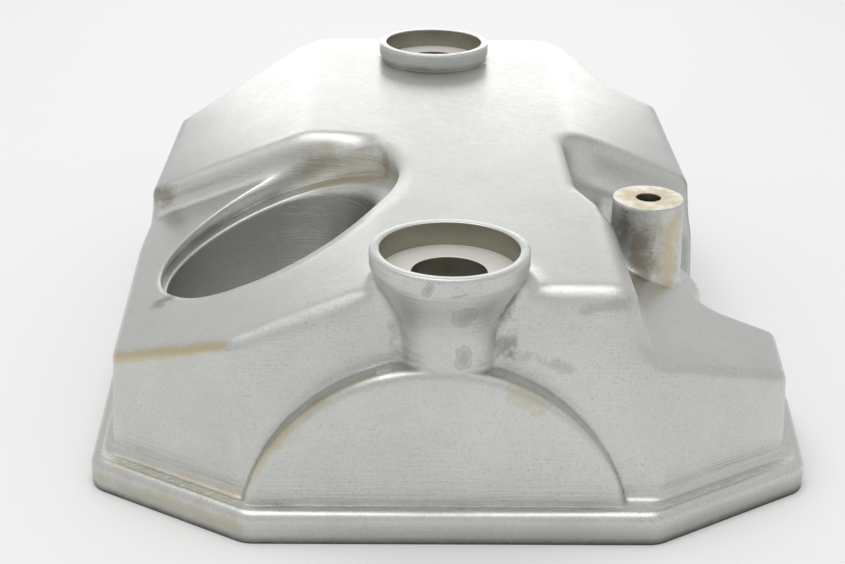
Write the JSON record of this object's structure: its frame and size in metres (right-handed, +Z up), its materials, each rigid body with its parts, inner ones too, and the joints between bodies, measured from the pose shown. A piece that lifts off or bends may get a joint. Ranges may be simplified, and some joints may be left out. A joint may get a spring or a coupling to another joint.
{
  "type": "engine valve cover",
  "caption": "Cast aluminium cylinder-head cover with sunk bolt seats, an oval plug opening, a threaded boss and a half-disc end pad.",
  "frame": {"origin": "middle of the flange outline, on the gasket face", "axes": "+Z up and away from the cylinder head, -Y towards the end with the half-disc pad, +X towards the threaded boss"},
  "size_m": [0.1418, 0.185, 0.0518],
  "materials": {
    "cast_aluminium": "bare casting, brushed and stained"
  },
  "bodies": {
    "root": {"valve_cover": "cast_aluminium"}
  },
  "joints": []
}
